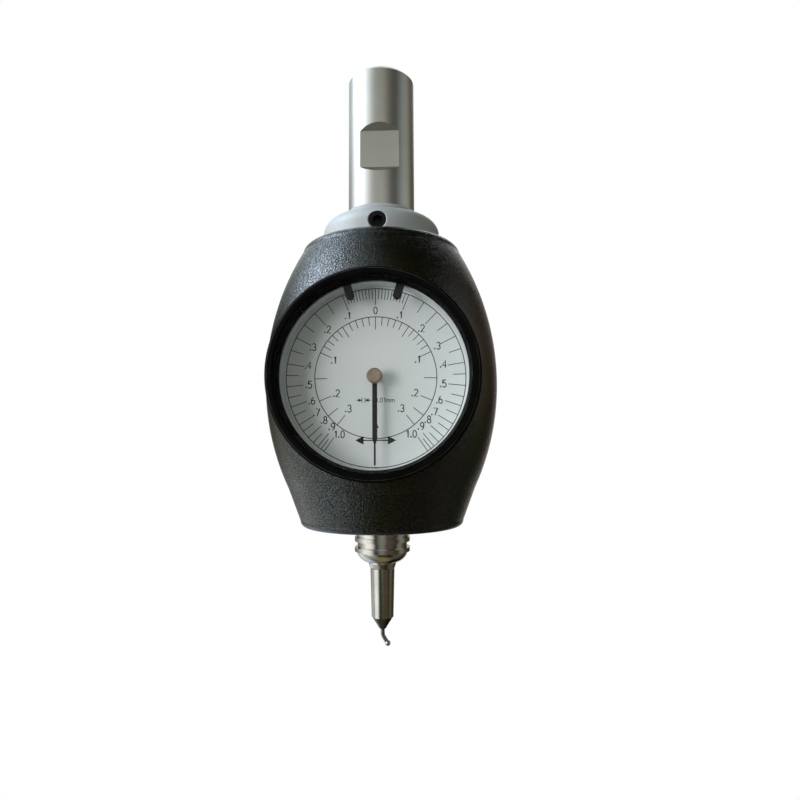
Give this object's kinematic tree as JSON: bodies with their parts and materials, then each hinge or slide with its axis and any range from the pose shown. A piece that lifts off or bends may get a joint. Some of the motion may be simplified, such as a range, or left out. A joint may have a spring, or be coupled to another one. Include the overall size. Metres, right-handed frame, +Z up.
{
  "type": "coaxial centring indicator",
  "caption": "Spindle-held dial indicator: shank, domed collar and bent probe turn, a barrel casing with a dial stays still; probe tilt drives the hand.",
  "frame": {"origin": "on the spindle axis, at the foot of the straight shank, where it meets the collar", "axes": "+Z up along the shank towards its top, -Y out of the dial towards the reader, +X to the reader's right"},
  "size_m": [0.068, 0.0685, 0.17],
  "materials": {
    "ground_steel": "satin ground",
    "grey_anodised": "matte anodised",
    "black_steel": "blackened",
    "shaft_steel": "ground",
    "bearing_steel": "polished",
    "spring_steel": "drawn",
    "nickel_steel": "satin nickel",
    "dark_steel": "blackened",
    "stem_steel": "drawn",
    "ball_steel": "polished",
    "casing_black": "fine pebbled coating",
    "bezel_black": "black anodised, semi-gloss",
    "marker_black": "matte",
    "crystal_glass": "clear",
    "dial_white": "matte white enamel",
    "rim_grey": "matte white",
    "hand_black": "satin",
    "cap_copper": "satin turned",
    "gear_brass": "satin",
    "plate_brass": "grained"
  },
  "bodies": {
    "rotor": {"shank": "ground_steel", "shank_collar": "grey_anodised", "clamp_screws": "black_steel", "spindle_shaft": "shaft_steel", "spring_plug": "shaft_steel", "upper_bearing_inner_ring": "bearing_steel", "upper_bearing_balls": "bearing_steel", "lower_bearing_inner_ring": "bearing_steel", "lower_bearing_balls": "bearing_steel", "retaining_ring": "spring_steel", "nose": "nickel_steel", "pivot_block": "shaft_steel", "pivot_pin": "shaft_steel", "upper_centring_spring": "spring_steel", "lower_centring_spring": "spring_steel"},
    "housing": {"casing": "casing_black", "bottom_cover": "bezel_black", "cover_screws": "black_steel", "upper_bearing_outer_ring": "bearing_steel", "lower_bearing_outer_ring": "bearing_steel", "movement_back_plate": "plate_brass", "movement_front_plate": "plate_brass", "movement_pillars": "plate_brass", "plate_screws": "shaft_steel", "movement_screws": "shaft_steel", "hairspring": "spring_steel", "hairspring_stud": "gear_brass", "dial_face": "dial_white", "dial_rim": "rim_grey"},
    "bezel": {"bezel": "bezel_black", "crystal": "crystal_glass", "crystal_ring": "bezel_black", "tolerance_marker_left": "marker_black", "tolerance_marker_right": "marker_black"},
    "probe": {"probe_lever": "nickel_steel", "probe_barrel": "nickel_steel", "clamping_nut": "dark_steel", "collet": "dark_steel", "stylus_stem": "stem_steel", "stylus_ball": "ball_steel"},
    "slider": {"push_rod": "shaft_steel", "cross_pin": "shaft_steel", "sliding_collar": "gear_brass"},
    "sector": {"sector_arbor": "shaft_steel", "sector_gear": "gear_brass", "sector_crank": "gear_brass"},
    "intermediate": {"intermediate_arbor": "shaft_steel", "intermediate_pinion": "shaft_steel", "intermediate_wheel": "gear_brass"},
    "hand": {"hand_arbor": "shaft_steel", "hand_pinion": "shaft_steel", "hairspring_collet": "gear_brass", "hand": "hand_black", "hand_cap": "cap_copper"}
  },
  "joints": [
    {"name": "housing_spin", "type": "hinge", "parent": "rotor", "child": "housing", "pos_m": [0, 0, 0], "axis": [0, 0, 1], "continuous": true},
    {"name": "bezel_turn", "type": "hinge", "parent": "housing", "child": "bezel", "pos_m": [0, 0, -0.052], "axis": [0, -1, 0], "continuous": true},
    {"name": "probe_tilt", "type": "hinge", "parent": "rotor", "child": "probe", "pos_m": [-0.003, 0, -0.098], "axis": [0, -1, 0], "range_deg": [-5.1, 5.1], "stiffness_Nm_per_rad": 0.17},
    {"name": "rod_slide", "type": "slide", "parent": "rotor", "child": "slider", "axis": [0, 0, 1], "range_m": [-0.00028, 0.00028], "deforming": ["upper_centring_spring", "lower_centring_spring"]},
    {"name": "sector_swing", "type": "hinge", "parent": "housing", "child": "sector", "pos_m": [-0.0024, 0, -0.07], "axis": [0, -1, 0], "range_deg": [-6.5, 6.5]},
    {"name": "intermediate_turn", "type": "hinge", "parent": "housing", "child": "intermediate", "pos_m": [0.01193, 0, -0.05331], "axis": [0, -1, 0], "range_deg": [-65, 65]},
    {"name": "hand_turn", "type": "hinge", "parent": "housing", "child": "hand", "pos_m": [0, 0, -0.052], "axis": [0, -1, 0], "range_deg": [-320, 320]}
  ],
  "couplings": [
    {"joint": "rod_slide", "follows": "probe_tilt", "m_per_rad": 0.003},
    {"joint": "sector_swing", "follows": "probe_tilt", "ratio": 1.25},
    {"joint": "intermediate_turn", "follows": "probe_tilt", "ratio": -12.5},
    {"joint": "hand_turn", "follows": "probe_tilt", "ratio": 62.5}
  ]
}
